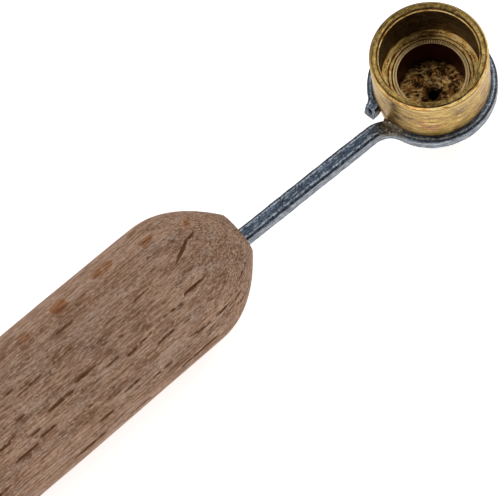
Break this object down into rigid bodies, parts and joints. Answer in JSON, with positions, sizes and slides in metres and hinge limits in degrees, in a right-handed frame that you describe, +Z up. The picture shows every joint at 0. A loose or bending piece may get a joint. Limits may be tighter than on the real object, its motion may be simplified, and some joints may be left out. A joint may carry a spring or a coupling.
{
  "type": "wax melting and pouring cup",
  "caption": "Small turned brass cup with a stepped bore and an outlet below, held in an open bent steel wire ring on a round beech handle with a domed nose.",
  "frame": {"origin": "centre of the tool's box in plan, on the surface that it lies on", "axes": "+X along the handle towards the cup, +Z up out of the cup's mouth"},
  "size_m": [0.1443, 0.0196, 0.0187],
  "materials": {
    "handle_wood": "raw turned beech, brown-pink, with dark ray flecks along the grain, matt",
    "holder_steel": "dull blue-grey zinc-coated wire with pits and scuffs",
    "pot_brass": "turned brass, fine turning lines, tarnished inside",
    "sleeve_brass": "dark oxidised brass with fine ticks on its top edge",
    "nozzle_brass": "rough brown tarnished brass floor and spout",
    "solder": "olive-grey solder smear with a few bright spots"
  },
  "bodies": {
    "root": {"handle": "handle_wood", "holder_wire": "holder_steel", "pot_body": "pot_brass", "inner_sleeve": "sleeve_brass", "nozzle": "nozzle_brass", "solder_fillet": "solder"}
  },
  "joints": []
}
